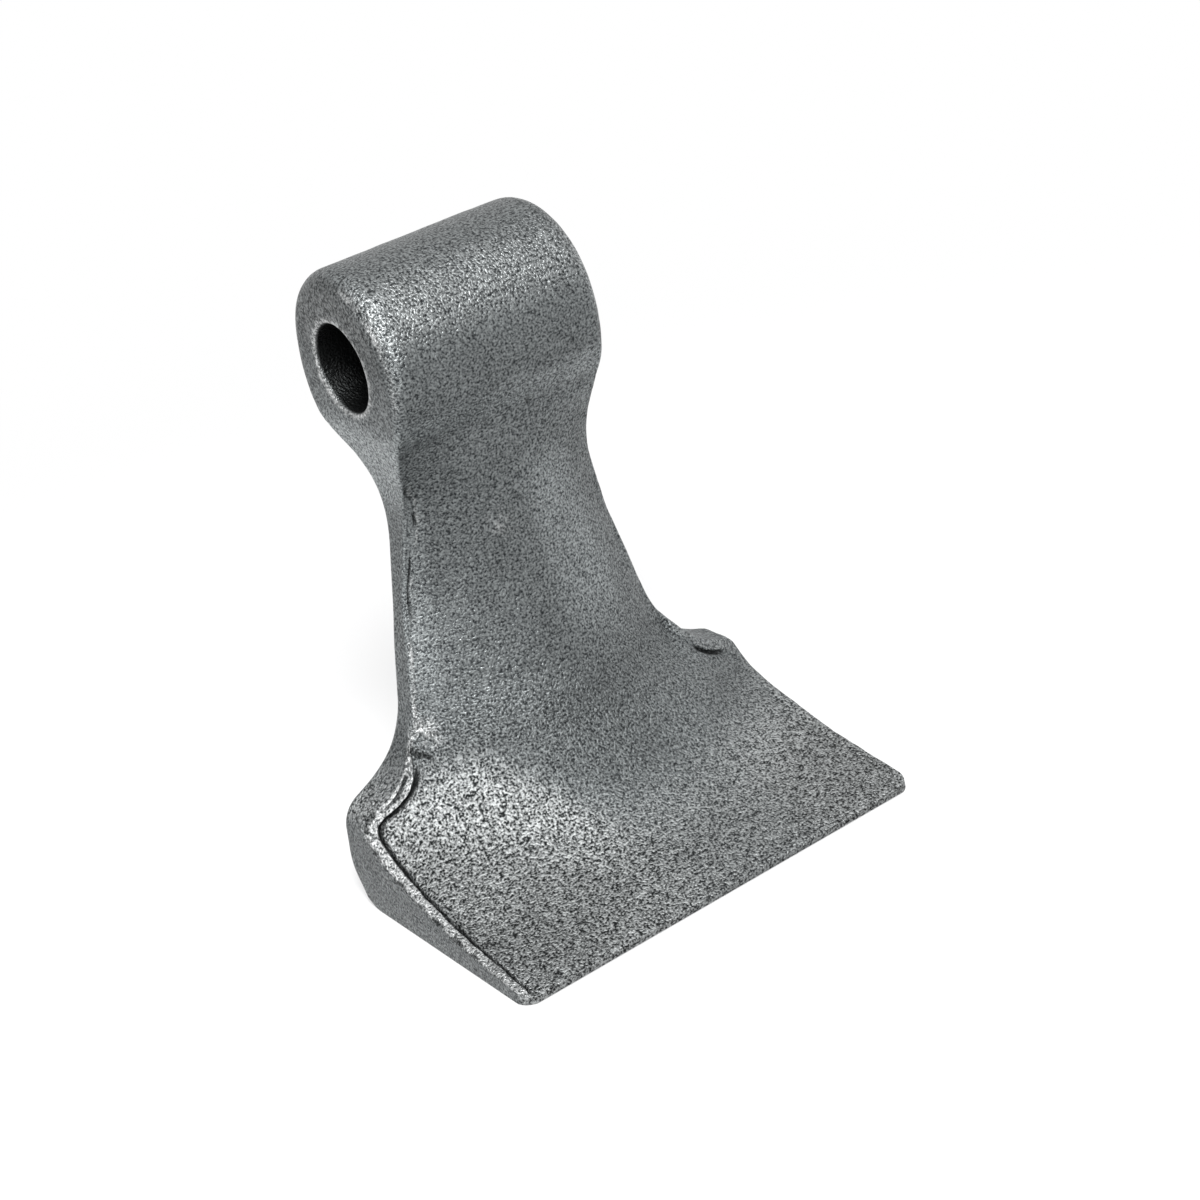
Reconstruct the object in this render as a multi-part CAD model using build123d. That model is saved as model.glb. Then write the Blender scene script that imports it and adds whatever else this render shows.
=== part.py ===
from build123d import *
import os
from math import atan2, hypot, tan

# Flail mower hammer, forged in one piece.
# Frame: origin at the middle of the pivot bore, X along the bore, the blade reaches forward
# to -Y, +Z up. The hammer stands on the flat underside of its head.

# Eye boss and pivot bore
boss_length = 55.6
boss_radius = 21.7
bore_diameter = 20.5
bore_chamfer = 0.8
rim_radius = 5.0

# Front view: waist under the boss, flare down the neck, shoulders of the head. The root fillet
# takes its share of the shoulder line and the shoulder's own fillet the rest, less a short land.
head_width = 108.4
blade_width = 110.8
base_drop = 122.7
waist_width = 49.4
waist_drop = 34.0
waist_blend = 45.0
flare_width = 71.6
eye_drop = 15.0
eye_blend = 14.0
head_height = 25.7
shoulder_slope = 2.6
root_share = 0.6
shoulder_land = 0.75
corner_radius = 3.5

# Side view: cutting edge, heel and flat base
blade_reach = 68.2
edge_thickness = 1.8
tip_slope = 0.3
heel_reach = 1.0
heel_radius = 11.0

# Face of the neck. Each row runs across the hammer: its drop below the bore and its forward reach
# in the middle, then the same two at the trimmed side edge.
neck_face = [
    (0.0, 14.0, 0.0, 12.0),
    (8.0, 18.6, 8.0, 15.6),
    (13.0, 17.2, 13.0, 16.0),
    (19.0, 14.8, 19.0, 14.2),
    (26.0, 13.4, 26.0, 10.8),
    (39.0, 13.0, 38.5, 6.5),
    (56.0, 13.6, 56.0, 3.8),
    (75.0, 17.0, 74.0, 4.8),
]

# Face of the scoop, in the same way, but with the rise above the base in place of the drop.
scoop_face = [
    (32.7, 22.5, 32.2, 7.2),
    (21.7, 30.3, 22.2, 6.9),
    (13.7, 40.1, 14.4, 15.3),
    (8.4, 50.6, 8.8, 30.8),
    (4.6, 60.4, 4.9, 48.0),
]

# Back of the neck by drop and backward reach, and back of the head by rise and backward reach.
neck_back = [
    (0.0, 13.0, 0.0, 13.0),
    (8.0, 15.4, 8.0, 15.4),
    (14.0, 15.2, 14.0, 14.2),
    (21.0, 12.0, 21.0, 8.2),
    (30.0, 8.0, 30.0, 2.0),
    (42.0, 5.5, 42.0, -0.3),
    (57.0, 5.0, 57.0, -0.1),
    (75.0, 5.0, 75.0, 0.9),
]
head_back = [
    (30.7, 4.0, 30.7, -0.6),
    (19.7, 2.6, 19.7, -0.4),
]

# Trimmed flash lip round the scoop
lip_width = 2.2
lip_height = 0.9
lip_rise = 32.7

# Working sizes that follow from the values above
half_length = boss_length / 2
half_head = head_width / 2
half_blade = blade_width / 2
half_waist = waist_width / 2
half_flare = flare_width / 2
shoulder_drop = base_drop - head_height
flare_drop = shoulder_drop - shoulder_slope
overrun = 3.0
stations = [0.0, 0.22, 0.44, 0.66, 0.86, 1.0]
station_reach = half_blade + overrun


def blend_radius(corner, tangent):
    """Radius of the fillet on the middle one of three points that starts a tangent away from it."""
    (x_a, z_a), (x_b, z_b), (x_c, z_c) = corner
    turn = abs(atan2(z_b - z_a, x_b - x_a) - atan2(z_c - z_b, x_c - x_b))
    return tangent / tan(turn / 2)


def front_outline():
    """Front view of neck and head: waist, straight flare, root fillet and rounded shoulder."""
    right = [
        (half_length, 0.0),
        (half_length, -eye_drop),
        (half_waist, -waist_drop),
        (half_flare, -flare_drop),
        (half_head, -shoulder_drop),
        (half_blade, -base_drop - overrun),
    ]
    left = [(-x, z) for x, z in reversed(right)]
    face = make_face(Polyline(*right, *left, close=True))
    shoulder_line = hypot(half_head - half_flare, shoulder_slope)
    root_tangent = root_share * shoulder_line
    shoulder_tangent = shoulder_line - root_tangent - shoulder_land
    rounded = [
        (right[1], eye_blend),
        (right[2], waist_blend),
        (right[3], blend_radius(right[2:5], root_tangent)),
        (right[4], blend_radius(right[3:6], shoulder_tangent)),
    ]
    for (x, z), radius in rounded:
        corners = [v for v in face.vertices() if hypot(abs(v.X) - x, v.Y - z) < 0.01]
        face = fillet(corners, radius)
    return face


def half_width(drop):
    """Half width of the neck and head at a drop below the bore, without the fillets."""
    corners = [
        (0.0, half_length),
        (eye_drop, half_length),
        (waist_drop, half_waist),
        (flare_drop, half_flare),
        (shoulder_drop, half_head),
        (base_drop, half_blade),
    ]
    for (drop_a, width_a), (drop_b, width_b) in zip(corners, corners[1:]):
        if drop <= drop_b:
            return width_a + (width_b - width_a) * (drop - drop_a) / (drop_b - drop_a)
    return half_blade


def crown(x, width):
    """Share of the way from the middle line to the side edge: a parabola, eased past the edge."""
    share = abs(x) / width
    return share ** 2 if share < 1 else 1 + 0.1 * (share - 1)


def row_point(x, row, side):
    """Point of one row at station x, in the YZ plane. Side is -1 for the face, +1 for the back."""
    mid_drop, mid_reach, edge_drop, edge_reach = row
    share = crown(x, half_width(edge_drop))
    drop = mid_drop + (edge_drop - mid_drop) * share
    reach = mid_reach + (edge_reach - mid_reach) * share
    return (side * reach, -drop)


def below_bore(rows):
    """Rows with their rises above the base turned into drops below the bore."""
    return [(base_drop - mid, reach, base_drop - edge, side) for mid, reach, edge, side in rows]


def knots(rows):
    """Spline parameters of the rows, spaced as in the middle of the hammer."""
    spaced = [0.0]
    for (drop_a, reach_a, _, _), (drop_b, reach_b, _, _) in zip(rows, rows[1:]):
        spaced.append(spaced[-1] + hypot(drop_b - drop_a, reach_b - reach_a))
    return spaced


def evenly(points, spaced, start, end):
    """Spline through points, with the same parameters at every station."""
    ends = [(*start, 0), (*end, 0)]
    return Edge.make_spline([(*point, 0) for point in points], ends, parameters=spaced, scale=False)


def face_line(x, raised):
    """Side view of the face from the boss down to the cutting edge, raised square to itself."""
    points = [row_point(x, row, -1) for row in face_rows]
    shifted = []
    for before, point, after in zip([points[0], *points], points, [*points[1:], points[-1]]):
        along = (after[0] - before[0], after[1] - before[1])
        size = hypot(*along)
        shifted.append((point[0] + raised * along[1] / size, point[1] - raised * along[0] / size))
    shifted[0] = (points[0][0] - raised, points[0][1])
    shifted[-1] = (points[-1][0], points[-1][1] + raised)
    return evenly(shifted, front_knots, (0, -1), (-1, -tip_slope))


def on_station(x, *lines):
    """Closed face from lines drawn in the YZ plane, set up at station x."""
    wire = Wire([edge for line in lines for edge in line.edges()])
    return Plane(origin=(x, 0, 0), x_dir=(0, 1, 0), z_dir=(1, 0, 0)) * make_face(wire)


def side_profile(x):
    """Closed side view of the neck and head at station x."""
    face = face_line(x, 0.0)
    back = evenly([row_point(x, row, 1) for row in rear_rows], rear_knots, (0, -1), (0, -1))
    tip_bottom = (-blade_reach, -base_drop)
    heel_bottom = (heel_reach - heel_radius, -base_drop)
    top = Line(face @ 0, back @ 0)
    heel = RadiusArc(back @ 1, heel_bottom, heel_radius)
    base = Line(heel_bottom, tip_bottom)
    tip = Line(tip_bottom, face @ 1)
    return on_station(x, top, back, heel, base, tip, face)


def lip_profile(x):
    """Closed side view of the stock for the lip: a skin that straddles the face."""
    outer = face_line(x, lip_height)
    inner = face_line(x, -edge_thickness / 2)
    return on_station(x, outer, Line(outer @ 1, inner @ 1), inner, Line(inner @ 0, outer @ 0))


def across(profile):
    """Loft of a side profile from the left side of the hammer to the right."""
    shares = [-share for share in reversed(stations[1:])] + stations
    return loft([profile(share * station_reach) for share in shares])


def through(outline):
    """Prism of a front view, from behind the hammer to in front of it."""
    return extrude(Plane.XZ * outline, amount=blade_reach + overrun, both=True)


# Rows of the face down to the cutting edge, and of the back down to the heel
tip_drop = base_drop - edge_thickness
heel_drop = base_drop - heel_radius
tip_row = (tip_drop, blade_reach, tip_drop, blade_reach)
heel_row = (heel_drop, heel_reach, heel_drop, heel_reach)
face_rows = [*neck_face, *below_bore(scoop_face), tip_row]
rear_rows = [*neck_back, *below_bore(head_back), heel_row]
front_knots = knots(face_rows)
rear_knots = knots(rear_rows)

# Neck and head, trimmed to the front view, with rounded corners at the cutting edge
outline = front_outline()
head = across(side_profile) & through(outline)
tip_face = head.faces().sort_by(Axis.Y)[0]
corners = [edge for edge in tip_face.edges() if edge.length < 2 * edge_thickness]
head = fillet(corners, corner_radius)

# Lip left by the trimmed flash, down both sides of the scoop
lip_zone = Pos(0, 0, lip_rise - base_drop) * Box(
    2 * head_width,
    2 * (blade_reach - corner_radius),
    2 * base_drop,
    align=(Align.CENTER, Align.CENTER, Align.MAX),
)
lip = across(lip_profile) & through(outline) & lip_zone
lip = lip - through(offset(outline, -lip_width))
head = head + lip

# Boss with rounded rims, and the pivot bore with its chamfers
boss = Cylinder(boss_radius, boss_length, rotation=(0, 90, 0))
boss = fillet(boss.edges().filter_by(GeomType.CIRCLE), rim_radius)
hammer = boss + head
hammer = hammer - Cylinder(bore_diameter / 2, boss_length + overrun, rotation=(0, 90, 0))
mouths = [e for e in hammer.edges().filter_by(GeomType.CIRCLE) if abs(e.radius - bore_diameter / 2) < 0.01]
hammer = chamfer(mouths, bore_chamfer)

os.makedirs("parts", exist_ok=True)
export_step(hammer, "parts/flail_hammer.step")
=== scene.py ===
import bmesh
import bpy
import numpy as np
from mathutils import Matrix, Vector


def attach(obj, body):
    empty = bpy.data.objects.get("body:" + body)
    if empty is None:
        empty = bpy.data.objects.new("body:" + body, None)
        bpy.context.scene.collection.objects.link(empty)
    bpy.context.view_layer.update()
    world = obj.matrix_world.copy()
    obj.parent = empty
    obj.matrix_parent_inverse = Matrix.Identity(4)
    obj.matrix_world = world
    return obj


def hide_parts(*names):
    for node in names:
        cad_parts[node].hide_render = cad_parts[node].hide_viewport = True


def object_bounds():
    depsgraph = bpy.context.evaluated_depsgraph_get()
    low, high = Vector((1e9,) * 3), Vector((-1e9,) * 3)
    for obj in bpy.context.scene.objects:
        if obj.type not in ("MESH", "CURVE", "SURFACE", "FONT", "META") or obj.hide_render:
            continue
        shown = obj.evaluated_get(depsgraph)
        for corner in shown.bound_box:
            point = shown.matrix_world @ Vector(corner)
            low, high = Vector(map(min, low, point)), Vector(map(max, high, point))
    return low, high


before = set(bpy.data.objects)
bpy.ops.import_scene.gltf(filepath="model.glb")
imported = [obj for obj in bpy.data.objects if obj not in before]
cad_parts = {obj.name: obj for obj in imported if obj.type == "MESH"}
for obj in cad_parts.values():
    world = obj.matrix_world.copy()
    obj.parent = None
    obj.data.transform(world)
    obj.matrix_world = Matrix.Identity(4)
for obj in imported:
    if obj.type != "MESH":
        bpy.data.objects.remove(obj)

# The forged hammer, dressed: one closed skin laid over the solid, with worn edges, the trimmed
# flash lip round the scoop and the grain of a shot blasted forging. Sizes are in millimetres.
cad_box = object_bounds()
metre = 0.001

# Eye boss and bore
boss_length = 55.6
boss_radius = 21.7
bore_radius = 10.25
mouth_round = 0.9
rim_radius = 5.0
web_blend = 4.5
back_blend = 7.0

# Front view
head_width = 108.4
blade_width = 110.8
base_drop = 122.7
head_height = 23.2
shoulder_slope = 8.8
waist_width = 49.4
waist_drop = 34.0
waist_blend = 45.0
flare_width = 71.6
eye_drop = 15.0
eye_blend = 14.0
root_blend = 23.6
shoulder_blend = 7.6
corner_radius = 4.6

# Side view
blade_reach = 68.2
edge_thickness = 1.8
tip_round = 0.4
tip_slope = 0.3
heel_reach = 1.0
heel_radius = 11.0

# Face and back by rows: drop and reach in the middle, then drop and reach at the side edge
face_rows = np.array([
    (0.0, 14.0, 0.0, 12.0),
    (8.0, 18.6, 8.0, 15.6),
    (13.0, 17.2, 13.0, 16.0),
    (19.0, 15.3, 19.0, 14.2),
    (26.0, 14.0, 26.0, 10.8),
    (39.0, 13.1, 38.5, 6.5),
    (56.0, 13.6, 56.0, 3.8),
    (75.0, 17.0, 74.0, 4.8),
    (90.0, 22.0, 90.5, 7.2),
    (101.0, 28.9, 100.5, 6.9),
    (109.0, 37.9, 108.3, 14.9),
    (114.6, 49.2, 113.9, 30.6),
    (118.3, 60.0, 117.8, 48.0),
    (120.9, 67.9, 120.9, 67.9),
])
back_rows = np.array([
    (0.0, 13.0, 0.0, 13.0),
    (8.0, 15.4, 8.0, 15.4),
    (14.0, 15.2, 14.0, 14.2),
    (21.0, 12.0, 21.0, 8.2),
    (30.0, 8.0, 30.0, 2.0),
    (42.0, 5.5, 42.0, -0.3),
    (57.0, 5.0, 57.0, -0.1),
    (75.0, 5.0, 75.0, 0.9),
    (92.0, 4.0, 92.0, -0.6),
    (103.0, 2.6, 103.0, -0.4),
    (base_drop - heel_radius, heel_reach, base_drop - heel_radius, heel_reach),
])

# Rounding of the side edges on the neck and on the head, for the face and for the back
face_edge_rounds = (0.7, 0.3)
back_edge_rounds = (1.8, 1.4)

# Flash lip, the groove inside it and the marks cut into the face
lip_width = 2.3
lip_height = 0.75
groove_width = 1.1
groove_depth = 0.9
nick_depth = 0.5
tear_depth = 0.4
pit_depth = 0.45
under_line_depth = 0.3

neck_burr = (-5.3, -43.7)

# The far ear sits lower than the near one
far_ear_sag = 1.9

half_length = boss_length / 2
half_head = head_width / 2
half_blade = blade_width / 2
half_waist = waist_width / 2
half_flare = flare_width / 2
shoulder_drop = base_drop - head_height
flare_drop = shoulder_drop - shoulder_slope


def smooth(low, high, value):
    """Smoothstep: 3 s^2 - 2 s^3 with s = (value - low) / (high - low), held to 0..1."""
    share = np.clip((value - low) / (high - low), 0.0, 1.0)
    return share * share * (3.0 - 2.0 * share)


def band(low, rise, fall, high, value):
    """One between rise and fall, nothing below low or above high, and smooth in between."""
    return smooth(low, rise, value) * (1 - smooth(fall, high, value))


def stripe(core, edge, value):
    """One where the value is within core of zero, and nothing where it is past edge from zero."""
    return 1 - smooth(core, edge, np.abs(value))


def rounded_line(points, radii, step):
    """Polyline through points whose corners are arcs: at a corner that turns by the angle T the
    arc of radius r starts r tan(T/2) before it. Sampled every step of length."""
    points = np.array(points, float)
    pieces = [points[:1]]
    for before, corner, after, radius in zip(points, points[1:], points[2:], radii):
        come = (corner - before) / np.linalg.norm(corner - before)
        leave = (after - corner) / np.linalg.norm(after - corner)
        turn = np.arctan2(come[0] * leave[1] - come[1] * leave[0], come @ leave)
        start = corner - come * radius * np.tan(abs(turn) / 2)
        side = np.sign(turn) * np.array([-come[1], come[0]])
        angle = np.linspace(0.0, abs(turn), max(3, int(radius * abs(turn) / step)))[:, None]
        pieces.append(start + radius * (np.sin(angle) * come + (1 - np.cos(angle)) * side))
    pieces.append(points[-1:])
    line = np.vstack(pieces)
    length = np.r_[0.0, np.cumsum(np.linalg.norm(np.diff(line, axis=0), axis=1))]
    even = np.arange(0.0, length[-1], step)
    return np.stack([np.interp(even, length, line[:, 0]), np.interp(even, length, line[:, 1])], 1)


# Right half of the front outline, from the top of the boss to below the base
outline = rounded_line(
    [
        (half_length, boss_radius),
        (half_length, -eye_drop),
        (half_waist, -waist_drop),
        (half_flare, -flare_drop),
        (half_head, -shoulder_drop),
        (half_blade, -base_drop),
        (half_blade, -base_drop - 6.0),
    ],
    [eye_blend, waist_blend, root_blend, shoulder_blend, 0.01],
    0.1,
)


def outline_distance(x, z):
    """Distance in the front view from a point to the side outline: the least over its samples."""
    x, z = np.abs(x).ravel(), z.ravel()
    near = np.full(x.shape, 40.0)
    for first in range(0, len(x), 4000):
        part = slice(first, first + 4000)
        across = x[part, None] - outline[None, :, 0]
        along = z[part, None] - outline[None, :, 1]
        near[part] = np.sqrt((across ** 2 + along ** 2).min(axis=1))
    return near


def basis(knots, count):
    """Cardinal clamped cubic splines: column k is the spline that is 1 at knot k and 0 at the
    others, with level ends. The last two columns carry a unit slope at the first and last knot."""
    n = len(knots)
    data = np.hstack([np.eye(n), np.zeros((n, 2))])
    first, last = np.zeros(n + 2), np.zeros(n + 2)
    first[n], last[n + 1] = 1.0, 1.0
    gap = np.diff(knots)
    rise = np.diff(data, axis=0) / gap[:, None]
    system, right = np.zeros((n, n)), np.zeros((n, n + 2))
    system[0, :2] = gap[0] / 3, gap[0] / 6
    right[0] = rise[0] - first
    system[-1, -2:] = gap[-1] / 6, gap[-1] / 3
    right[-1] = last - rise[-1]
    inner = np.arange(1, n - 1)
    system[inner, inner - 1] = gap[:-1] / 6
    system[inner, inner] = (gap[:-1] + gap[1:]) / 3
    system[inner, inner + 1] = gap[1:] / 6
    right[1:-1] = np.diff(rise, axis=0)
    bend = np.linalg.solve(system, right)
    u = np.linspace(knots[0], knots[-1], count)
    cell = np.clip(np.searchsorted(knots, u, side="right") - 1, 0, n - 2)
    h = gap[cell][:, None]
    a = (knots[cell + 1] - u)[:, None] / h
    b = 1.0 - a
    curve = a * data[cell] + b * data[cell + 1]
    curve += ((a ** 3 - a) * bend[cell] + (b ** 3 - b) * bend[cell + 1]) * h * h / 6
    return u, curve


def width_at(drop):
    """Half width of the plain outline, with no blends, at a drop below the bore."""
    drops = [0.0, eye_drop, waist_drop, flare_drop, shoulder_drop, base_drop]
    widths = [half_length, half_length, half_waist, half_flare, half_head, half_blade]
    return np.interp(drop, drops, widths)


def skin(rows, end_slope):
    """Surface through rows: at spline parameter u and place x the point is the sum over the rows of
    B_k(u) (mid_k + (edge_k - mid_k) (x / w_k)^2), with B_k the cardinal splines and w_k the half
    width at row k. Returns a function of x and u that gives reach and drop."""
    knots = np.r_[0.0, np.cumsum(np.hypot(np.diff(rows[:, 0]), np.diff(rows[:, 1])))]
    u_table, table = basis(knots, 3000)
    half = width_at(rows[:, 2])
    slopes = np.array([(1.0, 0.0), end_slope])

    def place(x, u):
        """Reach and drop at x and u. Above the first row the surface runs straight up."""
        share = np.abs(x)[..., None] / half
        share = np.where(share < 1, share ** 2, 1 + 0.1 * (share - 1))
        drop = rows[:, 0] + (rows[:, 2] - rows[:, 0]) * share
        reach = rows[:, 1] + (rows[:, 3] - rows[:, 1]) * share
        held = np.clip(u, 0.0, knots[-1])
        weight = np.stack([np.interp(held, u_table, column) for column in table.T], -1)
        n = len(rows)
        drop = (weight[..., :n] * drop).sum(-1) + weight[..., n:] @ slopes[:, 0]
        reach = (weight[..., :n] * reach).sum(-1) + weight[..., n:] @ slopes[:, 1]
        return reach, drop + np.minimum(u, 0.0)

    return place, knots[-1]


def merged(first, second, blend):
    """Smooth maximum: the larger plus h^2 blend / 4, with h = 1 - |first - second| / blend."""
    near = np.clip(1.0 - np.abs(first - second) / blend, 0.0, 1.0)
    return np.maximum(first, second) + near * near * blend / 4


def with_boss(reach, drop, blend):
    """Reach of face or back, joined to the round boss by a fillet-like smooth maximum, which
    starts below the bore."""
    circle = np.sqrt(np.maximum(boss_radius ** 2 - drop ** 2, 0.0))
    return merged(circle, reach, 0.01 + blend * smooth(0.0, 9.0, drop))


face, face_end = skin(face_rows, (tip_slope, 1.0))
back, back_end = skin(back_rows, (1.0, 0.0))


def parameter(place, end, x, drop):
    """Spline parameter at which the surface at x has a drop, by bisection on whole arrays."""
    low, high = np.zeros_like(drop), np.full_like(drop, end)
    for _ in range(36):
        middle = (low + high) / 2
        below = place(x, middle)[1] < drop
        low, high = np.where(below, middle, low), np.where(below, high, middle)
    return (low + high) / 2


def spread(last, spacing):
    """Places from 0 to last with gaps that follow a spacing function: the running sum of one over
    the spacing is cut at even numbers."""
    fine = np.linspace(0.0, last, 8001)
    count = np.r_[0.0, np.cumsum(np.diff(fine) / spacing((fine[1:] + fine[:-1]) / 2))]
    even = np.linspace(0.0, count[-1], int(round(count[-1])) + 1)
    return np.interp(even, count, fine)


# Rows of the grid: by angle round the boss, along the side edge, then round the cutting edge
boss_angle = np.radians(np.linspace(45.0, 0.0, 19)[:-1])
boss_heights = boss_radius * np.sin(boss_angle)
drops = -outline[:, 1]
straight = (drops >= 0.0) & (drops < base_drop - edge_thickness)
drops = drops[straight]
edge_reach = np.interp(drops, face_rows[:, 2], face_rows[:, 3])
edge_line = np.stack([outline[straight, 0], drops, edge_reach], 1)
travel = np.r_[0.0, np.cumsum(np.linalg.norm(np.diff(edge_line, axis=0), axis=1))]


def row_gap(t):
    """Spacing of the rows: closer at the ears, where the lip turns, and at the tip."""
    drop = np.interp(t, travel, drops)
    gap = 0.85 - 0.5 * smooth(89.0, 92.0, drop) + 0.5 * smooth(104.0, 107.0, drop)
    return gap - 0.45 * smooth(-7.0, -4.0, t - travel[-1])


picks = spread(travel[-1], row_gap)
row_drop = np.interp(picks, travel, drops)
row_half = np.interp(picks, travel, edge_line[:, 0])
row_drop[-1] = base_drop - edge_thickness
tip_start = np.radians(73.3)
upper_angle = np.linspace(tip_start, 0.0, 5)[1:]
lower_angle = np.radians(np.linspace(0.0, -90.0, 5))
upper_centre = np.full(len(upper_angle), edge_thickness - tip_round * np.sin(tip_start))
lower_centre = np.full(len(lower_angle), tip_round)
tip_angle = np.r_[upper_angle, lower_angle]
tip_centre = np.r_[upper_centre, lower_centre]
tip_drop = base_drop - tip_centre - tip_round * np.sin(tip_angle)
tip_y = -(blade_reach - tip_round) - tip_round * np.cos(tip_angle)
all_drop = np.r_[-boss_heights, row_drop, tip_drop]
boss_rows, rows_of_face, total_rows = len(boss_heights), len(row_drop), len(all_drop)
all_half = np.r_[np.full(boss_rows, half_length), row_half, np.full(len(tip_drop), half_blade)]

# Columns, closer together towards both sides, as shares of the half width
column_reach = 54.0
inwards = spread(column_reach, lambda gap: 0.2 + 0.9 * smooth(4.0, 13.0, gap)) / column_reach
share = np.r_[inwards - 1.0, 1.0 - inwards[::-1][1:]]
columns = len(share)


def corner_cut(y):
    """Plan view of the blade's corners: a quarter circle of the corner radius at the tip."""
    past = np.clip(-y - (blade_reach - corner_radius), 0.0, corner_radius)
    return corner_radius - np.sqrt(corner_radius ** 2 - past ** 2)


def edge_round(drop, neck_round, head_round):
    """Radius of the side edges by drop: that of the boss rim, then the neck's, then the head's."""
    radius = rim_radius + (neck_round - rim_radius) * smooth(-4.0, 20.0, drop)
    return radius + (head_round - radius) * smooth(84.0, 98.0, drop)


def half_skin(place, end, sign, blend):
    """Face (sign -1) or back (+1) on the grid: x is share times half width, and the parameter of
    a row is the one at which the side edge has the row's drop."""
    drop_edge = all_drop[boss_rows:boss_rows + rows_of_face]
    if sign > 0:
        drop_edge = np.minimum(all_drop[boss_rows:], base_drop - heel_radius)
    half = all_half[boss_rows:boss_rows + len(drop_edge)]
    u = np.r_[all_drop[:boss_rows], parameter(place, end, half, drop_edge)]
    half = all_half[:len(u)]
    x = share[None, :] * half[:, None]
    reach, drop = place(x, np.broadcast_to(u[:, None], x.shape))
    reach = with_boss(reach, drop, blend)
    return x, sign * reach, -drop


def finish_edges(x, y, z, sign, radius):
    """Rounds the side edges: a point nearer to the side outline than the radius r, at s, moves
    inwards along the profile's normal by r - sqrt(r^2 - (r - s)^2). Also gives the normal and s."""
    dy = np.gradient(y, axis=0)
    dz = np.gradient(z, axis=0)
    size = np.maximum(np.hypot(dy, dz), 1e-9)
    ny, nz = -sign * dz / size, sign * dy / size
    gap = outline_distance(x, z).reshape(x.shape)
    gap[:, 0] = gap[:, -1] = 0.0
    short = np.clip(radius[:, None] - gap, 0.0, None)
    inset = radius[:, None] - np.sqrt(np.maximum(radius[:, None] ** 2 - short ** 2, 0.0))
    return y - ny * inset, z - nz * inset, ny, nz, gap


def as_points(x, y, z):
    """Grids of coordinates as a list of points."""
    return np.stack([x.ravel(), y.ravel(), z.ravel()], 1)


def noise(points, size, seed):
    """Value noise from -1 to 1: random values on a lattice of the given size, each weighted by the
    product of the three smoothsteps that lead to its corner of the cell."""
    table = np.random.default_rng(seed).random((32, 32, 32))
    place = points / size + 100.0
    cell = np.floor(place).astype(int)
    part = place - cell
    part = part * part * (3 - 2 * part)
    total = np.zeros(len(points))
    for corner in range(8):
        step = np.array([(corner >> 2) & 1, (corner >> 1) & 1, corner & 1])
        weight = np.where(step, part, 1 - part).prod(axis=1)
        i, j, k = ((cell + step) % 32).T
        total += weight * table[i, j, k]
    return total * 2 - 1


def hump(x, z, at, radius):
    """Bell round a place in the front view: e to the power of -(distance / radius) squared."""
    return np.exp(-((x - at[0]) ** 2 + (z - at[1]) ** 2) / radius ** 2)


def scratch(x, z, start, end, width):
    """Mask of a short cut in the front view: one up to 0.4 widths from the line between its ends,
    and nothing from one width on."""
    start, end = np.array(start), np.array(end)
    run = end - start
    t = np.clip(((x - start[0]) * run[0] + (z - start[1]) * run[1]) / (run @ run), 0.0, 1.0)
    away = np.hypot(x - start[0] - t * run[0], z - start[1] - t * run[1])
    return 1 - smooth(0.4 * width, width, away)


def flash_lip(spots, gap):
    """Trimmed flash down both sides of the scoop, by distance from the side outline: the raised
    lip, thinner where it runs out up the neck, and the groove inside it. The far lip is lower and
    has its groove only at the ear."""
    x, y, z = spots.T
    drop = -z
    far = smooth(0.0, 20.0, x)
    off_tip = 1 - smooth(65.4, 67.4, -y)
    wander = 0.22 * noise(spots, 11.0, 3) + 0.16 * noise(spots, 3.4, 4)
    inside = gap + wander + 0.1 * noise(spots, 1.4, 14)
    width = lip_width * (0.3 + 0.7 * smooth(87.0, 95.0, drop))
    lip = smooth(84.0, 90.0, drop) * off_tip * (1 - smooth(width - 0.3, width + 0.1, inside))
    lip = lip * (1 - 0.5 * far) * (1 - 0.6 * far * smooth(101.0, 105.0, drop))
    groove = stripe(0.3, 1.0, (inside - lip_width) / (groove_width / 2) - 1)
    groove = groove * smooth(91.5, 94.0, drop) * off_tip
    groove = groove * (1 - far * smooth(46.0, 50.0, x)) * (1 - far * (1 - smooth(40.0, 42.0, x)))
    groove = groove * (0.8 + 0.2 * smooth(-0.5, 0.3, noise(spots, 9.0, 12)))
    return lip, groove


def lip_nicks(spots, gap):
    """Cuts in the near lip: its ragged outer edge, and above the ear a broken line along it."""
    x, _, z = spots.T
    ragged = smooth(-0.1, 0.3, noise(spots, 2.6, 21)) * (1 - smooth(0.35, 0.8, gap))
    ragged = ragged * band(96.0, 98.0, 118.0, 120.0, -z)
    line = stripe(0.2, 0.45, gap - 0.75 - 0.25 * noise(spots, 3.0, 24))
    line = line * band(88.5, 90.5, 97.0, 98.5, -z) * smooth(-0.6, -0.1, noise(spots, 4.0, 25))
    return np.maximum(ragged, line) * (1 - smooth(0.0, 20.0, x))


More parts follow.
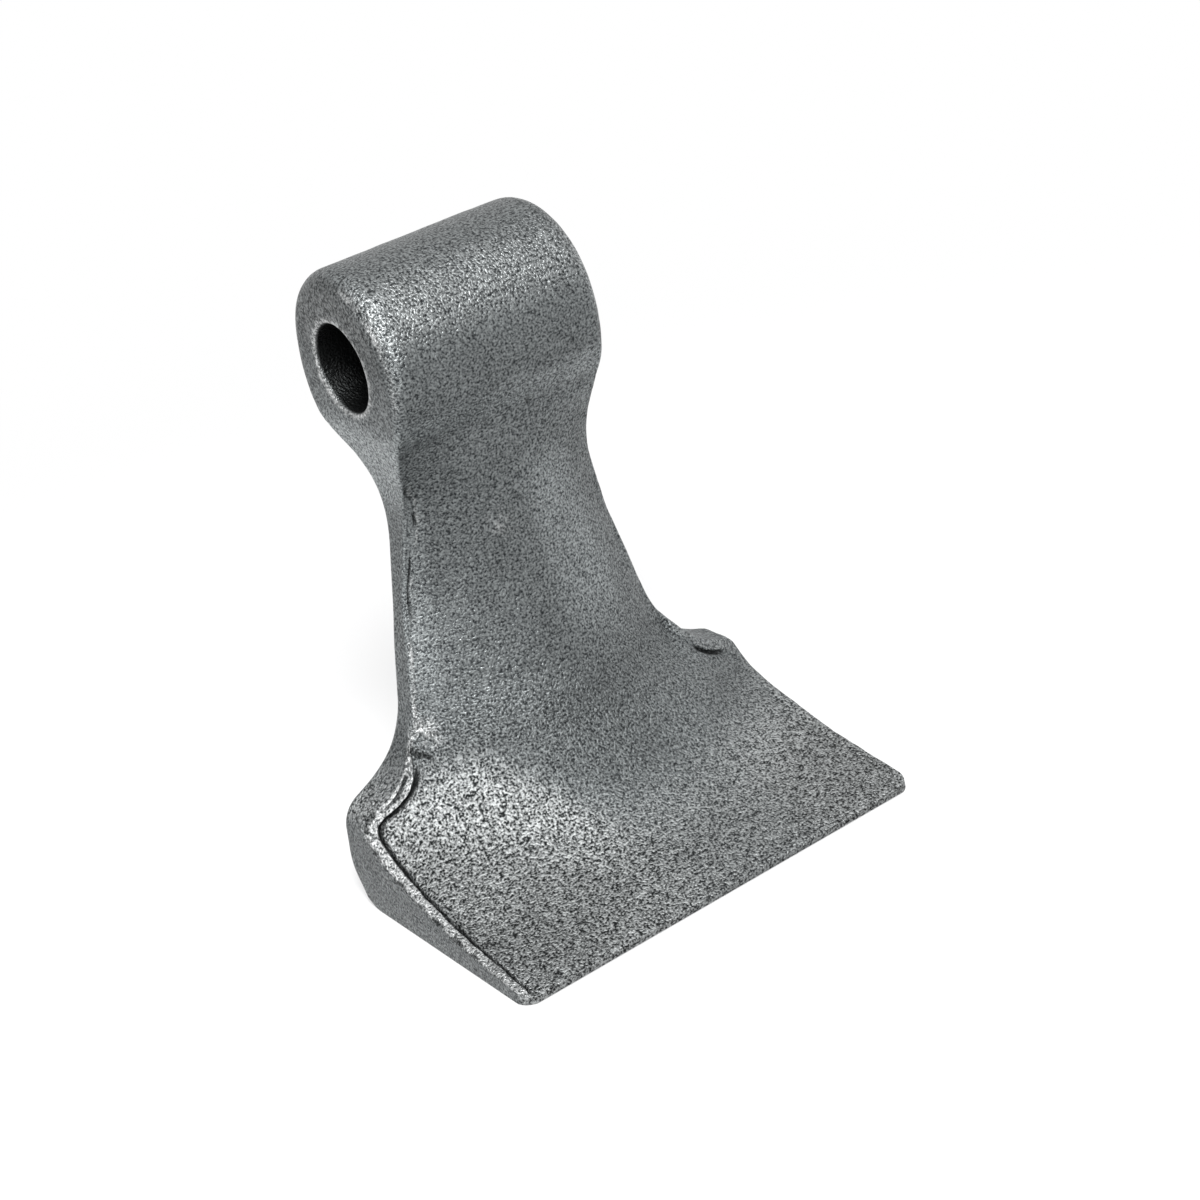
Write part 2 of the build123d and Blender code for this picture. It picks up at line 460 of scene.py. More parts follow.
def neck_edge_lines(spots, gap):
    """Near edge of the neck: the line where the flash tore off, which wanders in from the edge,
    and the lines of painted highlight beside it and lower down."""
    x, _, z = spots.T
    near = 1 - smooth(0.0, 20.0, x)
    upper = band(25.0, 30.0, 54.0, 64.0, -z) * near
    lower = band(58.0, 66.0, 88.0, 92.0, -z) * near
    place = gap - 1.3 - 1.1 * noise(spots, 7.0, 31) - 0.5 * noise(spots, 2.4, 32)
    torn = stripe(0.15, 0.45, place) * smooth(-0.45, 0.0, noise(spots, 4.0, 22)) * upper
    # The line beside the torn one and the light line lower down are painted highlight
    beside = stripe(0.1, 0.5, place - 0.6) * smooth(-0.2, 0.3, noise(spots, 3.0, 33)) * upper
    light = stripe(0.2, 0.55, gap - 0.6 - 0.3 * noise(spots, 6.0, 26))
    light = light * smooth(-0.4, 0.1, noise(spots, 4.5, 27)) * lower
    return torn, np.maximum(0.6 * light, 0.4 * beside)


def single_marks(spots):
    """Marks that occur once: a cut by the near ear, a pit under the boss and two folds in the
    scoop, and the light burrs on the neck and above the ear."""
    x, y, z = spots.T
    cut = scratch(x, z, (-38.4, -88.9), (-34.2, -91.6), 0.7)
    pit = hump(x, z, (7.0, -17.6), 0.55)
    wave = 0.9 * noise(spots, 7.0, 28) + 0.5 * noise(spots, 2.5, 29)
    folds = np.maximum(stripe(0.2, 0.7, x + 37.0 + wave), stripe(0.2, 0.6, x + 33.2 + wave))
    folds = folds * band(32.0, 38.0, 50.0, 56.0, -y) * smooth(-0.5, 0.2, noise(spots, 5.0, 30))
    burrs = hump(x, z, (-33.5, -86.0), 2.8) * smooth(-0.1, 0.35, noise(spots, 1.3, 43))
    burrs += 0.5 * hump(x, z, neck_burr, 2.6) * smooth(-0.1, 0.35, noise(spots, 1.2, 44))
    return np.maximum.reduce([cut, pit, 0.5 * folds]), burrs


# Face: spline rows, then the cutting edge with its two small rounds
fx, fy, fz = half_skin(face, face_end, -1, web_blend)
fy = np.vstack([fy, np.repeat(tip_y[:, None], columns, axis=1)])
fz = np.vstack([fz, np.repeat(-tip_drop[:, None], columns, axis=1)])
half_rows = all_half - corner_cut(fy[:, 0])
fx = share[None, :] * half_rows[:, None]
face_round = edge_round(all_drop, *face_edge_rounds) * (1 - smooth(120.2, 120.9, all_drop))
fy, fz, ny, nz, gap = finish_edges(fx, fy, fz, -1, face_round)
spots, gap = as_points(fx, fy, fz), gap.ravel()
lip, groove = flash_lip(spots, gap)
nick = lip_nicks(spots, gap)
torn, edge_highlight_lines = neck_edge_lines(spots, gap)
pits, burrs = single_marks(spots)
# Relief along the normal: the lip and its unevenness, the cuts, and the stock under the burrs
relief = lip * (lip_height + 0.14 * noise(spots, 4.0, 41) + 0.1 * noise(spots, 1.5, 42))
relief -= groove * groove_depth + nick * nick_depth + torn * tear_depth + pits * pit_depth
relief += 0.3 * hump(spots[:, 0], spots[:, 2], neck_burr, 2.6)
relief += 0.6 * hump(spots[:, 0], spots[:, 2], (-33.5, -86.5), 2.6) * noise(spots, 1.5, 43)
relief = relief.reshape(fx.shape)
fy, fz = fy + ny * relief, fz + nz * relief

# Back: spline rows, then the heel, an arc of the heel radius down to the base
bx, by, bz = half_skin(back, back_end, 1, back_blend)
fall = np.clip(all_drop - (base_drop - heel_radius), 0.0, heel_radius)[:, None]
bx = share[None, :] * all_half[:, None]
by = by - heel_radius + np.sqrt(np.maximum(heel_radius ** 2 - fall ** 2, 0.0))
bz = bz - fall
back_round = edge_round(all_drop, *back_edge_rounds) * (1 - smooth(119.0, 122.0, all_drop))
by, bz = finish_edges(bx, by, bz, 1, back_round)[:2]

# Side faces: straight across from the face's edge to the back's, with close columns beside the lip
# and a fine line cut in below it
close = np.array([0.0, 0.25, 0.5, 0.75, 1.0, 1.25, 1.6, 2.2, 3.0])
wide = np.linspace(0.0, 1.0, 19)[1:]


def across_side(column):
    """Places along the side from the face's edge column to the back's, as lengths and as shares."""
    run = np.hypot(by[:, column] - fy[:, column], bz[:, column] - fz[:, column])[:, None]
    near = close[None, :] * np.minimum(run / 7.0, 1.0)
    places = np.hstack([near, near[:, -1:] + (run - near[:, -1:]) * wide[None, :]])
    return places, places / run


# Top of the boss, from the first row of the face over to that of the back: arcs about the bore's
# axis, with the radius drawn in by a quarter circle at both rims. The sides' first rows are drawn
# onto it, by a share that fades down to the middle of the boss.
over = np.radians(135.0 - 90.0 * across_side(-1)[1][0])
x_top = share[None, :] * half_length
short_top = np.clip(rim_radius - half_length + np.abs(x_top), 0.0, None)
r_top = boss_radius - rim_radius + np.sqrt(rim_radius ** 2 - short_top ** 2)
ty = r_top * np.cos(over)[:, None]
tz = r_top * np.sin(over)[:, None]
tx = np.repeat(x_top, len(over), axis=0)
ty[0], tz[0], ty[-1], tz[-1] = fy[0], fz[0], by[0], bz[0]
fade = (1 - smooth(0.0, boss_rows, np.arange(total_rows)))[:, None]


def side_face(column, sign):
    """Side of the hammer at one edge column: column 0 and sign -1 for the near side, where x is
    below zero, and column -1 and sign 1 for the far side."""
    places, q = across_side(column)
    y = fy[:, [column]] + (by[:, [column]] - fy[:, [column]]) * q
    z = fz[:, [column]] + (bz[:, [column]] - fz[:, [column]]) * q
    y = y + (ty[:, column] - y[0])[None, :] * fade
    z = z + (tz[:, column] - z[0])[None, :] * fade
    under = stripe(0.1, 0.5, places - 0.75) * smooth(98.0, 101.0, all_drop)[:, None]
    under = under * (1 - smooth(64.0, 67.0, -fy[:, [column]]))
    x = all_half[:, None] - corner_cut(y) - under_line_depth * under
    x[:, 0] = half_rows
    return sign * x, y, z


near_side, far_side = side_face(0, -1), side_face(-1, 1)

# Flat base between the last rows of face and back
base_x, base_y, _ = far_side
ux = share[None, :] * base_x[-1][:, None]
uy = np.repeat(base_y[-1][:, None], columns, axis=1)
uz = np.full_like(ux, -base_drop)


def grid_faces(index):
    """Quads of a grid of point numbers."""
    corners = (index[:-1, :-1], index[:-1, 1:], index[1:, 1:], index[1:, :-1])
    return np.stack([c.ravel() for c in corners], 1)


def thinned(index):
    """Grid of point numbers with every other inner row and column drawn onto its neighbour."""
    rows, cols = np.arange(index.shape[0]), np.arange(index.shape[1])
    fewer = index[rows - rows % 2][:, cols - cols % 2]
    result = index.copy()
    result[2:-2, 2:-2] = fewer[2:-2, 2:-2]
    return result


def joined(patches):
    """One mesh of several grids, with points within 0.0001 mm made one. The plain back is
    thinned. Also gives which grid point each kept point is."""
    points, faces, first = [], [], 0
    for px, py, pz in patches:
        points.append(as_points(px, py, pz))
        index = np.arange(px.size).reshape(px.shape) + first
        faces.append(grid_faces(thinned(index) if px is bx else index))
        first += px.size
    points, faces = np.vstack(points), np.vstack(faces)
    _, kept, same = np.unique(np.round(points / 1e-4).astype(np.int64), axis=0,
                              return_index=True, return_inverse=True)
    faces = [list(dict.fromkeys(face)) for face in same.ravel()[faces].tolist()]
    return points[kept], [face for face in faces if len(face) > 2], kept


def mesh_object(name, points, faces):
    """Object at the origin from points in millimetres and a list of faces."""
    mesh = bpy.data.meshes.new(name)
    mesh.from_pydata((points * metre).tolist(), [], faces)
    mesh.validate()
    shape = bpy.data.objects.new(name, mesh)
    bpy.context.scene.collection.objects.link(shape)
    return shape


def turned_outwards(shape):
    """Merges what coincides, drops empty faces and turns all faces outwards."""
    work = bmesh.new()
    work.from_mesh(shape.data)
    bmesh.ops.remove_doubles(work, verts=work.verts, dist=2e-7)
    bmesh.ops.dissolve_degenerate(work, edges=work.edges, dist=1e-7)
    loose = [point for point in work.verts if not point.link_faces]
    bmesh.ops.delete(work, geom=loose, context="VERTS")
    bmesh.ops.recalc_face_normals(work, faces=work.faces)
    work.to_mesh(shape.data)
    work.free()


def set_mask(shape, name, values):
    """Stores a value a point under a name, for the material."""
    layer = shape.data.attributes.get(name) or shape.data.attributes.new(name, "FLOAT", "POINT")
    layer.data.foreach_set("value", values.astype(np.float32))


patches = [(fx, fy, fz), (bx, by, bz), far_side, near_side, (tx, ty, tz), (ux, uy, uz)]
points, faces, kept = joined(patches)
far_ear = band(36.5, 44.0, 49.0, 57.0, points[:, 0]) * band(84.0, 92.0, 99.0, 111.0, -points[:, 2])
points[:, 2] -= far_ear_sag * far_ear
hammer = mesh_object("hammer", points, faces)
# Painted shade in the groove, nicks, torn line, pits and folds
dark = np.maximum.reduce([groove, 0.7 * nick, 0.8 * torn, 0.8 * pits])
# The lip is lighter as trimmed flash and as painted highlight, less so on the far side
light = 0.8 * lip * (1 - groove) * (1 - nick) * (1 - 0.6 * smooth(20.0, 30.0, fx.ravel()))
light = np.maximum.reduce([light, edge_highlight_lines, burrs])
for name, values in (("marks", dark), ("bright", light)):
    on_grid = np.zeros(sum(patch[0].size for patch in patches))
    on_grid[:len(values)] = values
    set_mask(hammer, name, on_grid[kept])
turned_outwards(hammer)


def bore_plug():
    """Closed plug for the bore, turned about X: a cylinder of the bore's radius that widens by a
    quarter circle at each mouth and then runs on past the ends of the boss."""
    turn = np.radians([0.0, 30.0, 60.0, 90.0])
    right_x = half_length - mouth_round * (1 - np.sin(turn))
    right_x = np.r_[right_x, half_length + 1.0, half_length + 3.0]
    right_r = bore_radius + np.r_[mouth_round * (1 - np.cos(turn)), 1.6, 1.6]
    line_x = np.r_[-right_x[::-1], right_x][:, None]
    line_r = np.r_[right_r[::-1], right_r][:, None]
    ring = np.linspace(0.0, 2 * np.pi, 145)[:-1]
    x = np.repeat(line_x, len(ring), axis=1)
    index = np.arange(x.size).reshape(x.shape)
    faces = grid_faces(np.hstack([index, index[:, :1]])).tolist()
    faces += [index[0].tolist(), index[-1].tolist()]
    points = as_points(x, line_r * np.cos(ring), line_r * np.sin(ring))
    plug = mesh_object("bore_plug", points, faces)
    turned_outwards(plug)
    return plug


plug = bore_plug()
cut = hammer.modifiers.new("bore", "BOOLEAN")
cut.operation = "DIFFERENCE"
cut.object = plug
cut.solver = "EXACT"
evaluated = hammer.evaluated_get(bpy.context.evaluated_depsgraph_get())
bored = bpy.data.meshes.new_from_object(evaluated)
hammer.modifiers.clear()
hammer.data = bored
bpy.data.objects.remove(plug)
turned_outwards(hammer)

count = len(hammer.data.vertices)
flat = np.empty(count * 3)
hammer.data.vertices.foreach_get("co", flat)
spots = flat.reshape(-1, 3) / metre
hammer.data.vertex_normals.foreach_get("vector", flat)
normals = flat.reshape(-1, 3).copy()
from_bore = np.hypot(spots[:, 1], spots[:, 2]) - bore_radius
in_bore = 1 - smooth(0.05, 0.25, from_bore)
on_face = smooth(0.1, 0.4, -normals[:, 1] * 0.8 + normals[:, 2] * 0.6)


def dented(spots):
    """Dents and ripples of the forged skin: noise of four sizes along the normals, with stronger
    ripples in the scoop, less of both on the back and none in the bore or at the base. The points
    stay inside the solid's box."""
    drop = -spots[:, 2]
    calm = (1 - in_bore) * (1 - 0.9 * smooth(121.0, 122.4, drop))
    calm = calm * (1 - 0.6 * smooth(0.2, 0.8, normals[:, 1]))
    dents = 0.15 * noise(spots, 15.0, 5) + 0.06 * noise(spots, 6.0, 6)
    ripples = 0.04 * noise(spots, 2.8, 7) + 0.02 * noise(spots, 1.6, 8)
    ripples = ripples * (1 + 0.9 * smooth(88.0, 100.0, drop) * on_face)
    moved = spots + normals * ((dents + ripples) * calm)[:, None]
    low, high = np.array(cad_box[0]) / metre, np.array(cad_box[1]) / metre
    return np.clip(moved, low + 0.02, high - 0.02)


def rubbed_rims_and_highlight(spots, moved):
    """Lighter wear at the mouths of the bore, and along the front of the boss's near rim a lighter
    streak that is worn edge and painted highlight. The slant is the distance out from a cone
    through the rim, and the angle is zero at the front of it."""
    x, y, z = spots.T
    mouth = (1 - smooth(0.9, 1.35, from_bore)) * (1 - in_bore)
    angle = np.degrees(np.arctan2(z, -y))
    slant = np.hypot(y, z) - boss_radius - np.abs(x) + half_length
    rim = np.maximum(stripe(0.4, 1.3, slant + 1.2), 0.5 * stripe(1.5, 4.0, slant - 1.5))
    # The streak on the near rim is worn edge and painted highlight, lying mostly on its upper front
    rim = rim * (0.35 * smooth(-75.0, -40.0, angle) + 0.65 * smooth(15.0, 30.0, angle))
    rim = rim * (1 - smooth(65.0, 85.0, angle)) * smooth(0.0, 5.0, -x) * smooth(-9.0, -5.0, z)
    rim = rim * smooth(2.6, 5.0, rim_radius - half_length - x)
    rim = rim * smooth(-0.7, 0.2, noise(moved, 1.8, 51))
    return np.maximum(mouth, 0.9 * rim)


def rough_places(spots):
    """Where the skin is sandier, with a lighter tone that is partly painted highlight, and where it
    was
    blasted: the scoop, from a line that runs lower towards the far side, and less so the upper
    front of the boss."""
    x, _, z = spots.T
    on_boss = smooth(3.0, 11.0, z) * (1 - 0.6 * smooth(16.0, 21.0, z))
    line = 92.0 + 17.0 * smooth(-27.0, -4.0, x)
    # The lighter tone of this zone is partly painted highlight
    sandy_and_lit = smooth(-4.0, 8.0, -z - line) * on_face * (1 - 0.4 * band(-22.0, 8.0, 22.0, 36.0, x))
    blasted = smooth(74.0, 92.0, -z) * on_face
    return np.maximum(sandy_and_lit, 0.35 * on_boss), np.maximum(blasted, 0.3 * on_boss), on_boss


def painted_light_by_place(spots, on_boss):
    """Painted light and shade by place, as a factor on the steel's colour, one being plain. Painted
    lighter are the two bands down the neck, the web under the boss and the near side below it.
    Painted darker are the near end and the top of the boss, the skin above the bend of the scoop,
    the rim of the blade and the far end of it."""
    x, _, z = spots.T
    drop = -z
    side = x / width_at(drop)
    neck = smooth(26.0, 40.0, drop)
    left_band = smooth(0.76, 0.88, -side) * neck * (1 - smooth(70.0, 86.0, drop))
    right_band = band(0.02, 0.32, 0.55, 0.85, side) * neck * (1 - smooth(68.0, 82.0, drop))
    web = 0.55 * band(8.5, 12.5, 15.0, 19.0, drop) + 0.12 * band(14.0, 18.0, 22.0, 30.0, drop)
    bend = 94.0 + 14.0 * smooth(-28.0, 4.0, x)
    above_bend = smooth(82.0, 88.0, drop) * (1 - smooth(-4.0, 4.0, drop - bend))
    above_bend = above_bend * (1 - 0.7 * smooth(5.0, 30.0, x))
    blade_rim = smooth(-2.5, 2.0, drop - 115.0 + 10.0 * smooth(18.0, 34.0, -x))
    far_wing = smooth(22.0, 36.0, x) * smooth(98.0, 106.0, drop)
    # Painted light and shade on the face: lighter bands and web, darker skin above the bend, blade
    # rim and far wing
    by_place = 0.28 * left_band + 0.5 * right_band + web
    by_place = by_place - 0.26 * above_bend - 0.22 * blade_rim - 0.1 * far_wing
    near_end = smooth(-0.5, 0.5, -x - half_length + 1.5) * smooth(-8.0, 4.0, z)
    near_side = smooth(23.5, 26.0, -x) * band(10.0, 17.0, 28.0, 38.0, drop) * (1 - on_face)
    shade = 1 + by_place * on_face - 0.3 * near_end + 0.9 * near_side
    return shade - 0.12 * on_boss * smooth(0.0, 20.0, x) - 0.12 * smooth(15.0, 20.0, z)


moved = dented(spots)
hammer.data.vertices.foreach_set("co", (moved * metre).ravel())
hammer.data.update()
light = np.empty(count)
hammer.data.attributes["bright"].data.foreach_get("value", light)
sandy_and_lit, blasted, on_boss = rough_places(spots)
# The bright mask also gets wear at the bore's mouths and the near rim's streak of worn edge and
# painted highlight
set_mask(hammer, "bright", np.maximum(light, rubbed_rims_and_highlight(spots, moved)))
# The bore is painted dark as shade
set_mask(hammer, "bore", in_bore)
# This mask also lightens the colour, partly as painted highlight
set_mask(hammer, "sandy_and_lit", sandy_and_lit)
set_mask(hammer, "blasted", blasted)
# The shade mask is painted light and shade, a factor on the colour by place
set_mask(hammer, "shade", painted_light_by_place(spots, on_boss))
for polygon in hammer.data.polygons:
    polygon.use_smooth = True


def group_tree(name, inputs, outputs):
    """Empty shader node group with named inputs and outputs."""
    tree = bpy.data.node_groups.new(name, "ShaderNodeTree")
    for label, kind, value in inputs:
        socket = tree.interface.new_socket(label, in_out="INPUT", socket_type=kind)
        if value is not None:
            socket.default_value = value
    for label, kind in outputs:
        tree.interface.new_socket(label, in_out="OUTPUT", socket_type=kind)
    return tree, tree.nodes.new("NodeGroupInput"), tree.nodes.new("NodeGroupOutput")


def blasted_grain():
    """Grain of a shot blasted forging: seven parts fine noise and three parts coarse, as height
    and as a hard tone, the fine noise alone as a soft tone, and wide clouds."""
    tree, given, put = group_tree(
        "blasted_grain",
        [("Vector", "NodeSocketVector", None), ("Fine", "NodeSocketFloat", 900.0),
         ("Coarse", "NodeSocketFloat", 320.0)],
        [("Height", "NodeSocketFloat"), ("Tone", "NodeSocketFloat"),
         ("Soft tone", "NodeSocketFloat"), ("Cloud", "NodeSocketFloat")],
    )
    link = tree.links.new
    fine = tree.nodes.new("ShaderNodeTexNoise")
    fine.inputs["Detail"].default_value = 2.0
    fine.inputs["Roughness"].default_value = 0.5
    coarse = tree.nodes.new("ShaderNodeTexNoise")
    coarse.inputs["Detail"].default_value = 2.0
    cloud = tree.nodes.new("ShaderNodeTexNoise")
    cloud.inputs["Scale"].default_value = 45.0
    cloud.inputs["Detail"].default_value = 3.0
    link(given.outputs["Vector"], fine.inputs["Vector"])
    link(given.outputs["Vector"], coarse.inputs["Vector"])
    link(given.outputs["Vector"], cloud.inputs["Vector"])
    link(given.outputs["Fine"], fine.inputs["Scale"])
    link(given.outputs["Coarse"], coarse.inputs["Scale"])
    both = tree.nodes.new("ShaderNodeMix")
    both.inputs["Factor"].default_value = 0.3
    link(fine.outputs["Fac"], both.inputs["A"])
    link(coarse.outputs["Fac"], both.inputs["B"])
    link(both.outputs["Result"], put.inputs["Height"])
    tone = tree.nodes.new("ShaderNodeMapRange")
    tone.inputs["From Min"].default_value = 0.41
    tone.inputs["From Max"].default_value = 0.60
    link(both.outputs["Result"], tone.inputs["Value"])
    link(tone.outputs["Result"], put.inputs["Tone"])
    soft = tree.nodes.new("ShaderNodeMapRange")
    soft.inputs["From Min"].default_value = 0.33
    soft.inputs["From Max"].default_value = 0.67
    link(fine.outputs["Fac"], soft.inputs["Value"])
    link(soft.outputs["Result"], put.inputs["Soft tone"])
    link(cloud.outputs["Fac"], put.inputs["Cloud"])
    return tree


grain_group = blasted_grain()


def forged_steel():
    """Forged steel: grey metal with a fine grain, sandier in the scoop and lighter there as painted
    highlight in part, with painted light and shade by place, lighter on the lip and the rubbed rims
    as wear and painted highlight, and painted shade in cuts, grooves and the bore."""
    material = bpy.data.materials.new("forged_steel_skin")
    material.use_nodes = True
    tree = material.node_tree
    link = tree.links.new
    shader = tree.nodes["Principled BSDF"]
    shader.inputs["Metallic"].default_value = 0.9
    place = tree.nodes.new("ShaderNodeTexCoord")
    grain = tree.nodes.new("ShaderNodeGroup")
    grain.node_tree = grain_group
    grain.inputs["Fine"].default_value = 1850.0
    grain.inputs["Coarse"].default_value = 800.0
    link(place.outputs["Object"], grain.inputs["Vector"])

    def mixed(under, over, mask, blend="MIX", factor=None):
        """Colour mix of two sockets or plain colours by a mask."""
        node = tree.nodes.new("ShaderNodeMix")
        node.data_type = "RGBA"
        node.blend_type = blend
        for name, value in (("A", under), ("B", over)):
            if isinstance(value, tuple):
                node.inputs[name].default_value = (*value, 1)
            else:
                link(value, node.inputs[name])
        if factor is None:
            link(mask, node.inputs["Factor"])
        else:
            node.inputs["Factor"].default_value = factor
        return node.outputs["Result"]

    def painted(name):
        """Mask stored on the points of the mesh."""
        node = tree.nodes.new("ShaderNodeAttribute")
        node.attribute_name = name
        return node.outputs["Fac"]

    smooth_skin = mixed((0.020, 0.023, 0.025), (0.238, 0.254, 0.256), grain.outputs["Soft tone"])
    # Lighter, harder tone of the scoop: grain, and in part painted highlight
    sandy_lit_skin = mixed((0.012, 0.014, 0.014), (0.42, 0.435, 0.435), grain.outputs["Tone"])
    # Light tone for the bright mask: wear on lip and rims, and painted highlight
    worn_and_highlight = mixed((0.10, 0.105, 0.105), (0.58, 0.59, 0.59), grain.outputs["Tone"])
    plain = mixed(smooth_skin, sandy_lit_skin, painted("sandy_and_lit"))
    cloudy = mixed(plain, grain.outputs["Cloud"], None, "OVERLAY", 0.2)
    # Painted light and shade: the colour is scaled by the shade mask
    shaded = tree.nodes.new("ShaderNodeVectorMath")
    shaded.operation = "SCALE"
    link(cloudy, shaded.inputs[0])
    link(painted("shade"), shaded.inputs["Scale"])
    edged = mixed(shaded.outputs["Vector"], worn_and_highlight, painted("bright"))
    # Painted shade in the cuts, grooves and folds
    dark = mixed(edged, (0.008, 0.009, 0.009), painted("marks"))
    # Painted shade inside the bore
    inside = mixed(dark, (0.012, 0.013, 0.013), painted("bore"))
    link(inside, shader.inputs["Base Color"])
    rough = tree.nodes.new("ShaderNodeMapRange")
    rough.inputs["To Min"].default_value = 0.46
    rough.inputs["To Max"].default_value = 0.32
    link(grain.outputs["Tone"], rough.inputs["Value"])
    spread_light = tree.nodes.new("ShaderNodeMath")
    spread_light.operation = "MULTIPLY_ADD"
    link(painted("blasted"), spread_light.inputs[0])
    spread_light.inputs[1].default_value = 0.10
    link(rough.outputs["Result"], spread_light.inputs[2])
    link(spread_light.outputs["Value"], shader.inputs["Roughness"])
    bump = tree.nodes.new("ShaderNodeBump")
    bump.inputs["Strength"].default_value = 1.0
    depth = tree.nodes.new("ShaderNodeMapRange")
    depth.inputs["To Min"].default_value = 0.0004
    depth.inputs["To Max"].default_value = 0.0008
    link(painted("blasted"), depth.inputs["Value"])
    link(depth.outputs["Result"], bump.inputs["Distance"])
    link(grain.outputs["Height"], bump.inputs["Height"])
    link(bump.outputs["Normal"], shader.inputs["Normal"])
    return material


hammer.data.materials.append(forged_steel())
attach(hammer, "root")
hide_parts("flail_hammer")

# Floor: a wide pale disc, as a grid of rings about a middle face
rings, spokes = 12, 96
radius = np.linspace(0.0, 4.0, rings + 1)[1:]
angle = np.linspace(0.0, 2 * np.pi, spokes + 1)[:-1]
floor_x = radius[:, None] * np.cos(angle)
floor_y = radius[:, None] * np.sin(angle)
floor_points = np.stack([floor_x.ravel(), floor_y.ravel(), np.zeros(floor_x.size)], 1)
floor_index = np.arange(rings * spokes).reshape(rings, spokes)
floor_next = np.roll(floor_index, -1, axis=1)
floor_faces = np.stack([floor_index[:-1].ravel(), floor_index[1:].ravel(),
                        floor_next[1:].ravel(), floor_next[:-1].ravel()], 1).tolist()
floor_faces.append(floor_index[0].tolist())
floor_points = floor_points + (0.0, -0.02, -base_drop * metre - 0.0002)
floor = mesh_object("floor", floor_points / metre, floor_faces)


def pale_floor():
    """White floor: plain white in the metal and, away from the hammer, to the camera. Near the
    hammer the camera also sees a part of its own shade, so that the hammer's shadow stays."""
    material = bpy.data.materials.new("pale_floor")
    material.use_nodes = True
    tree = material.node_tree
    link = tree.links.new
    tree.nodes.remove(tree.nodes["Principled BSDF"])
    plain = tree.nodes.new("ShaderNodeBsdfDiffuse")
    plain.inputs["Color"].default_value = (0.86, 0.86, 0.86, 1)
    white = tree.nodes.new("ShaderNodeEmission")
    place = tree.nodes.new("ShaderNodeTexCoord")
    far = tree.nodes.new("ShaderNodeVectorMath")
    far.operation = "LENGTH"
    link(place.outputs["Object"], far.inputs[0])
    reach = tree.nodes.new("ShaderNodeMapRange")
    reach.interpolation_type = "SMOOTHSTEP"
    reach.inputs["From Min"].default_value = 0.14
    reach.inputs["From Max"].default_value = 0.45
    reach.inputs["To Min"].default_value = 0.55
    reach.inputs["To Max"].default_value = 1.0
    link(far.outputs["Value"], reach.inputs["Value"])
    ray = tree.nodes.new("ShaderNodeLightPath")
    seen = tree.nodes.new("ShaderNodeMath")
    seen.operation = "MULTIPLY"
    link(ray.outputs["Is Camera Ray"], seen.inputs[0])
    link(reach.outputs["Result"], seen.inputs[1])
    mirrored = tree.nodes.new("ShaderNodeMath")
    mirrored.operation = "MAXIMUM"
    link(ray.outputs["Is Glossy Ray"], mirrored.inputs[0])
    link(ray.outputs["Is Transmission Ray"], mirrored.inputs[1])
    share_white = tree.nodes.new("ShaderNodeMath")
    share_white.operation = "MAXIMUM"
    link(seen.outputs["Value"], share_white.inputs[0])
    link(mirrored.outputs["Value"], share_white.inputs[1])
    mix = tree.nodes.new("ShaderNodeMixShader")
    link(share_white.outputs["Value"], mix.inputs["Fac"])
    link(plain.outputs["BSDF"], mix.inputs[1])
    link(white.outputs["Emission"], mix.inputs[2])
    link(mix.outputs["Shader"], tree.nodes["Material Output"].inputs["Surface"])
    return material


floor.data.materials.append(pale_floor())

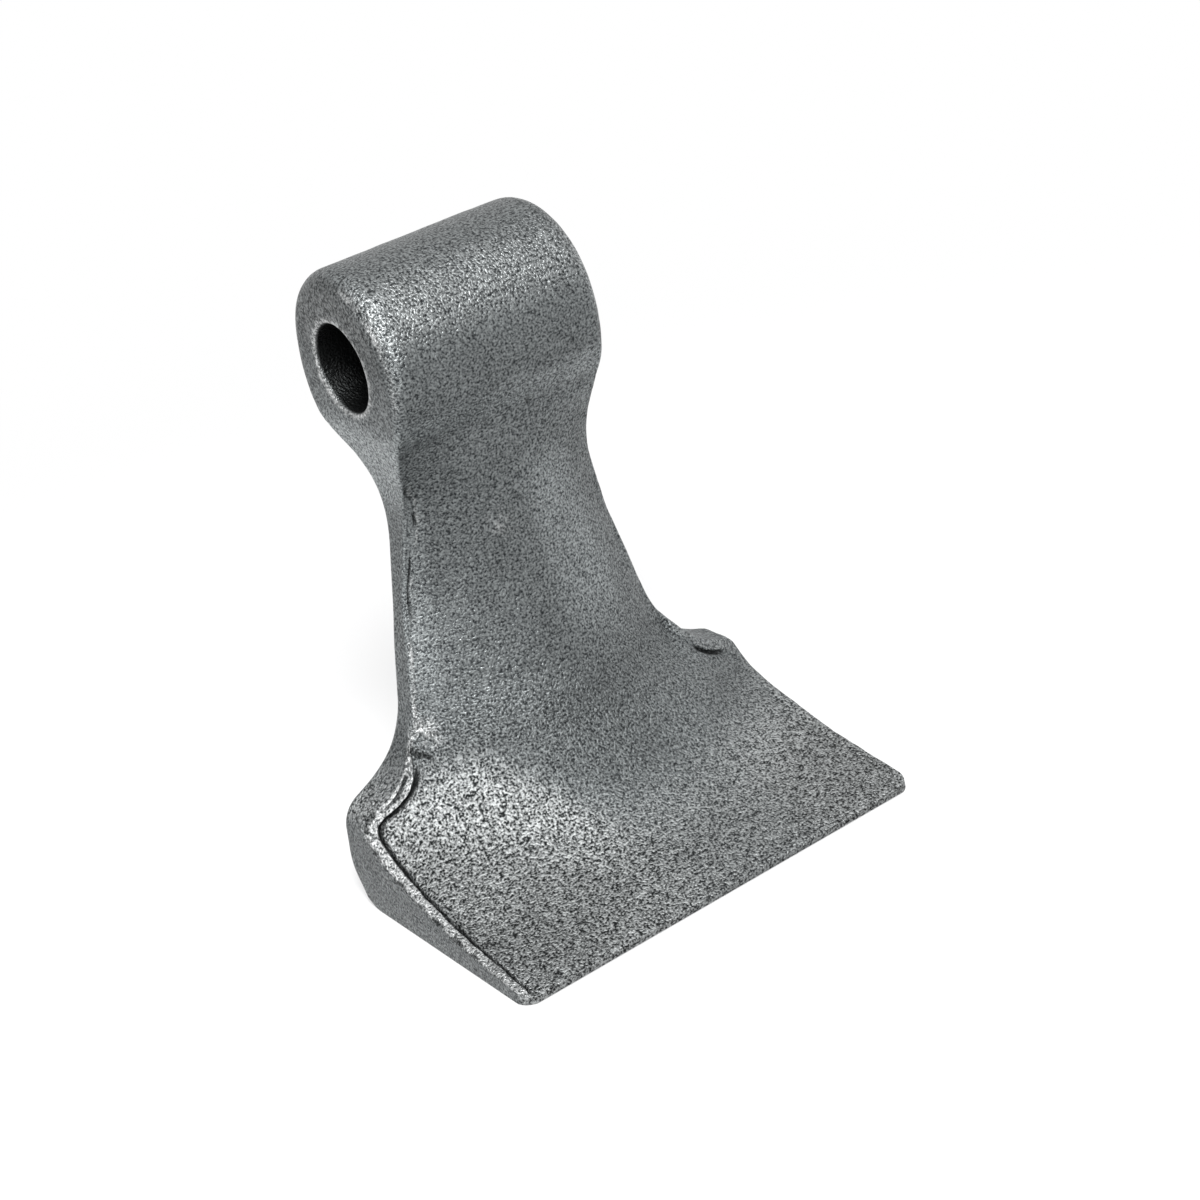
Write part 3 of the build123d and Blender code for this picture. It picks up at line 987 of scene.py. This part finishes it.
# Camera at the photograph's place, 78 mm on a 36 mm sensor. The three directions are those of its
# own right, up and backwards.
camera_data = bpy.data.cameras.new("camera")
camera_data.lens = 78.0
camera_data.sensor_width = 36.0
camera_data.clip_start = 0.01
camera_data.clip_end = 20.0
camera = bpy.data.objects.new("camera", camera_data)
bpy.context.scene.collection.objects.link(camera)
right = (0.7940116, -0.57831199, -0.18735214)
up = (0.39355755, 0.25413316, 0.8834754)
back_to_lens = (-0.46331203, -0.77522357, 0.42938373)
stand = (-0.26343, -0.48090, 0.18685)
camera.matrix_world = Matrix(
    [(right[i], up[i], back_to_lens[i], stand[i]) for i in range(3)] + [(0, 0, 0, 1)])
bpy.context.scene.camera = camera


lamp_aim = np.array([0.0, -0.02, -0.06])


def soft_box(name, place, size, power):
    """Round area lamp at a place, turned to the middle of the hammer."""
    lamp = bpy.data.lights.new(name, "AREA")
    lamp.shape = "DISK"
    lamp.size = size
    lamp.energy = power
    holder = bpy.data.objects.new(name, lamp)
    bpy.context.scene.collection.objects.link(holder)
    aim_line = lamp_aim - np.array(place)
    forward = aim_line / np.linalg.norm(aim_line)
    side = np.cross(forward, (0.0, 0.0, 1.0))
    side /= np.linalg.norm(side)
    over = np.cross(side, forward)
    holder.matrix_world = Matrix(
        [(side[i], over[i], -forward[i], place[i]) for i in range(3)] + [(0, 0, 0, 1)])


soft_box("key", (-0.38, -0.84, 1.13), 0.55, 28.5)
soft_box("top_box", (0.0, 0.0, 1.3), 1.2, 4.0)
soft_box("left_fill", (-1.1, -0.6, 0.1), 0.8, 6.5)
soft_box("right_fill", (1.2, 0.2, 0.0), 0.8, 2.5)

# World: white to the camera and in the metal, and an even grey light for everything else
world = bpy.data.worlds.new("studio")
bpy.context.scene.world = world
world.use_nodes = True
tree = world.node_tree
shell = tree.nodes["Background"]
shell.inputs["Strength"].default_value = 1.0
ray = tree.nodes.new("ShaderNodeLightPath")
tint = tree.nodes.new("ShaderNodeMix")
tint.data_type = "RGBA"
tint.inputs["A"].default_value = (0.30, 0.30, 0.305, 1)
tint.inputs["B"].default_value = (1.0, 1.0, 1.0, 1)
seen = [tree.nodes.new("ShaderNodeMath") for _ in range(2)]
for node in seen:
    node.operation = "MAXIMUM"
tree.links.new(ray.outputs["Is Glossy Ray"], seen[0].inputs[0])
tree.links.new(ray.outputs["Is Transmission Ray"], seen[0].inputs[1])
tree.links.new(ray.outputs["Is Camera Ray"], seen[1].inputs[0])
tree.links.new(seen[0].outputs["Value"], seen[1].inputs[1])
tree.links.new(seen[1].outputs["Value"], tint.inputs["Factor"])
tree.links.new(tint.outputs["Result"], shell.inputs["Color"])

bpy.context.scene.view_settings.view_transform = "Standard"
